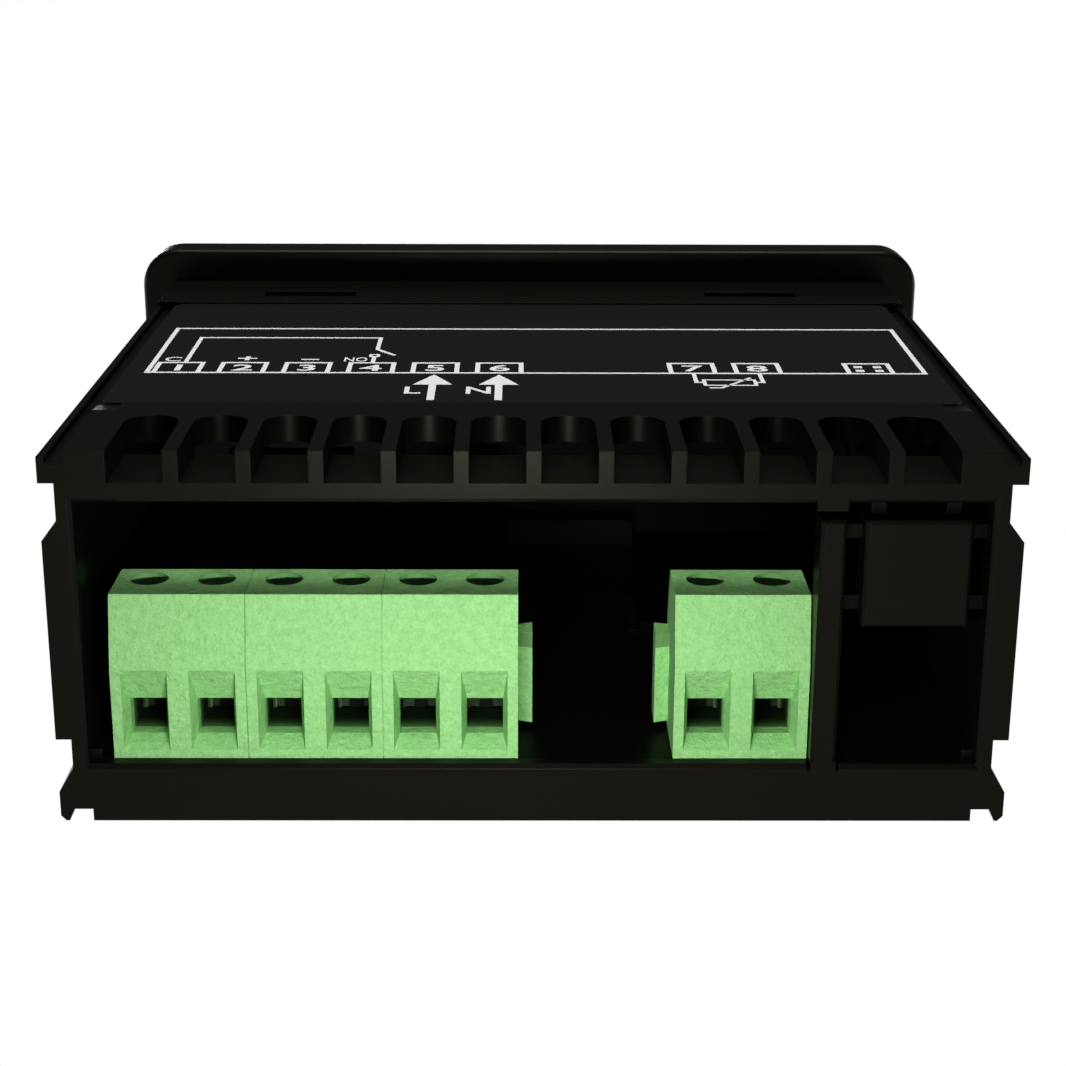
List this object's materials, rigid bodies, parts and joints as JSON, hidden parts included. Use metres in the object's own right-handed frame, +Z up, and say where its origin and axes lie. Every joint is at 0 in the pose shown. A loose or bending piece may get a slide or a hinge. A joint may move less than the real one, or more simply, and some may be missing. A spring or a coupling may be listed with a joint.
{
  "type": "pid temperature controller",
  "caption": "Panel-mounted temperature controller: slim black case with a bezel, display and keys in front, and green screw terminals, comb notches and a knock-out cover at the open rear.",
  "frame": {"origin": "centre of the panel cut-out, in the plane of the bezel's back face that seats on the panel", "axes": "+Y into the panel, from the display to the terminals; +Z up; +X to the right of someone who faces the display"},
  "size_m": [0.077, 0.068, 0.035],
  "materials": {
    "case_plastic": "fine matt texture",
    "bezel_plastic": "fine matt texture",
    "label_film": "printed polyester film, satin",
    "smoked_window": "smoked acrylic, polished",
    "display_module": "moulded, matt",
    "lamp_resin": "cast resin",
    "circuit_board": "dark solder mask on glass fibre",
    "header_plastic": "moulded",
    "core_steel": "laminated and varnished",
    "coil_tape": "taped winding on a black former",
    "component_black": "moulded",
    "capacitor_sleeve": "shrunk sleeve",
    "varistor_coat": "dipped epoxy",
    "switch_black": "moulded",
    "key_plastic": "fine matt texture",
    "terminal_green": "fine matt polyamide",
    "plated_steel": "zinc plated",
    "cage_nickel": "nickel plated",
    "tinned_brass": "tinned"
  },
  "bodies": {
    "controller": {"rear_case": "case_plastic", "rating_label": "label_film", "front_bezel": "bezel_plastic", "display_window": "smoked_window", "led_display": "display_module", "status_lamps": "lamp_resin", "display_board": "circuit_board", "board_link": "header_plastic", "main_board": "circuit_board", "transformer_core": "core_steel", "transformer_coil": "coil_tape", "output_relay": "component_black", "filter_capacitors": "capacitor_sleeve", "mains_fuse": "component_black", "surge_varistor": "varistor_coat", "bridge_rectifier": "component_black", "voltage_regulator": "component_black", "microcontroller": "component_black", "key_down_switch": "switch_black", "key_up_switch": "switch_black", "key_set_switch": "switch_black", "key_menu_switch": "switch_black", "terminal_block_1": "terminal_green", "terminal_block_2": "terminal_green", "terminal_block_3": "terminal_green", "terminal_block_4": "terminal_green", "terminal_contacts": "tinned_brass"},
    "key_down": {"key_down": "key_plastic", "key_down_plunger": "switch_black"},
    "key_up": {"key_up": "key_plastic", "key_up_plunger": "switch_black"},
    "key_set": {"key_set": "key_plastic", "key_set_plunger": "switch_black"},
    "key_menu": {"key_menu": "key_plastic", "key_menu_plunger": "switch_black"},
    "terminal_screw_1": {"terminal_screw_1": "plated_steel"},
    "clamp_cage_1": {"clamp_cage_1": "cage_nickel"},
    "terminal_screw_2": {"terminal_screw_2": "plated_steel"},
    "clamp_cage_2": {"clamp_cage_2": "cage_nickel"},
    "terminal_screw_3": {"terminal_screw_3": "plated_steel"},
    "clamp_cage_3": {"clamp_cage_3": "cage_nickel"},
    "terminal_screw_4": {"terminal_screw_4": "plated_steel"},
    "clamp_cage_4": {"clamp_cage_4": "cage_nickel"},
    "terminal_screw_5": {"terminal_screw_5": "plated_steel"},
    "clamp_cage_5": {"clamp_cage_5": "cage_nickel"},
    "terminal_screw_6": {"terminal_screw_6": "plated_steel"},
    "clamp_cage_6": {"clamp_cage_6": "cage_nickel"},
    "terminal_screw_7": {"terminal_screw_7": "plated_steel"},
    "clamp_cage_7": {"clamp_cage_7": "cage_nickel"},
    "terminal_screw_8": {"terminal_screw_8": "plated_steel"},
    "clamp_cage_8": {"clamp_cage_8": "cage_nickel"}
  },
  "joints": [
    {"name": "key_down_press", "type": "slide", "parent": "controller", "child": "key_down", "axis": [0, 1, 0], "range_m": [0, 0.00035], "stiffness_N_per_m": 2500, "springref_m": -0.0002},
    {"name": "key_up_press", "type": "slide", "parent": "controller", "child": "key_up", "axis": [0, 1, 0], "range_m": [0, 0.00035], "stiffness_N_per_m": 2500, "springref_m": -0.0002},
    {"name": "key_set_press", "type": "slide", "parent": "controller", "child": "key_set", "axis": [0, 1, 0], "range_m": [0, 0.00035], "stiffness_N_per_m": 2500, "springref_m": -0.0002},
    {"name": "key_menu_press", "type": "slide", "parent": "controller", "child": "key_menu", "axis": [0, 1, 0], "range_m": [0, 0.00035], "stiffness_N_per_m": 2500, "springref_m": -0.0002},
    {"name": "cage_lift_1", "type": "slide", "parent": "controller", "child": "clamp_cage_1", "axis": [0, 0, 1], "range_m": [0, 0.0022]},
    {"name": "screw_turn_1", "type": "hinge", "parent": "controller", "child": "terminal_screw_1", "pos_m": [0.02902, 0.056, -0.00178], "axis": [0, 0, -1], "range_deg": [0, 1760]},
    {"name": "cage_lift_2", "type": "slide", "parent": "controller", "child": "clamp_cage_2", "axis": [0, 0, 1], "range_m": [0, 0.0022]},
    {"name": "screw_turn_2", "type": "hinge", "parent": "controller", "child": "terminal_screw_2", "pos_m": [0.02394, 0.056, -0.00178], "axis": [0, 0, -1], "range_deg": [0, 1760]},
    {"name": "cage_lift_3", "type": "slide", "parent": "controller", "child": "clamp_cage_3", "axis": [0, 0, 1], "range_m": [0, 0.0022]},
    {"name": "screw_turn_3", "type": "hinge", "parent": "controller", "child": "terminal_screw_3", "pos_m": [0.01886, 0.056, -0.00178], "axis": [0, 0, -1], "range_deg": [0, 1760]},
    {"name": "cage_lift_4", "type": "slide", "parent": "controller", "child": "clamp_cage_4", "axis": [0, 0, 1], "range_m": [0, 0.0022]},
    {"name": "screw_turn_4", "type": "hinge", "parent": "controller", "child": "terminal_screw_4", "pos_m": [0.01378, 0.056, -0.00178], "axis": [0, 0, -1], "range_deg": [0, 1760]},
    {"name": "cage_lift_5", "type": "slide", "parent": "controller", "child": "clamp_cage_5", "axis": [0, 0, 1], "range_m": [0, 0.0022]},
    {"name": "screw_turn_5", "type": "hinge", "parent": "controller", "child": "terminal_screw_5", "pos_m": [0.0087, 0.056, -0.00178], "axis": [0, 0, -1], "range_deg": [0, 1760]},
    {"name": "cage_lift_6", "type": "slide", "parent": "controller", "child": "clamp_cage_6", "axis": [0, 0, 1], "range_m": [0, 0.0022]},
    {"name": "screw_turn_6", "type": "hinge", "parent": "controller", "child": "terminal_screw_6", "pos_m": [0.00362, 0.056, -0.00178], "axis": [0, 0, -1], "range_deg": [0, 1760]},
    {"name": "cage_lift_7", "type": "slide", "parent": "controller", "child": "clamp_cage_7", "axis": [0, 0, 1], "range_m": [0, 0.0022]},
    {"name": "screw_turn_7", "type": "hinge", "parent": "controller", "child": "terminal_screw_7", "pos_m": [-0.01308, 0.056, -0.00178], "axis": [0, 0, -1], "range_deg": [0, 1760]},
    {"name": "cage_lift_8", "type": "slide", "parent": "controller", "child": "clamp_cage_8", "axis": [0, 0, 1], "range_m": [0, 0.0022]},
    {"name": "screw_turn_8", "type": "hinge", "parent": "controller", "child": "terminal_screw_8", "pos_m": [-0.01816, 0.056, -0.00178], "axis": [0, 0, -1], "range_deg": [0, 1760]}
  ],
  "couplings": [
    {"joint": "screw_turn_1", "follows": "cage_lift_1", "rad_per_m": 13963},
    {"joint": "screw_turn_2", "follows": "cage_lift_2", "rad_per_m": 13963},
    {"joint": "screw_turn_3", "follows": "cage_lift_3", "rad_per_m": 13963},
    {"joint": "screw_turn_4", "follows": "cage_lift_4", "rad_per_m": 13963},
    {"joint": "screw_turn_5", "follows": "cage_lift_5", "rad_per_m": 13963},
    {"joint": "screw_turn_6", "follows": "cage_lift_6", "rad_per_m": 13963},
    {"joint": "screw_turn_7", "follows": "cage_lift_7", "rad_per_m": 13963},
    {"joint": "screw_turn_8", "follows": "cage_lift_8", "rad_per_m": 13963}
  ]
}
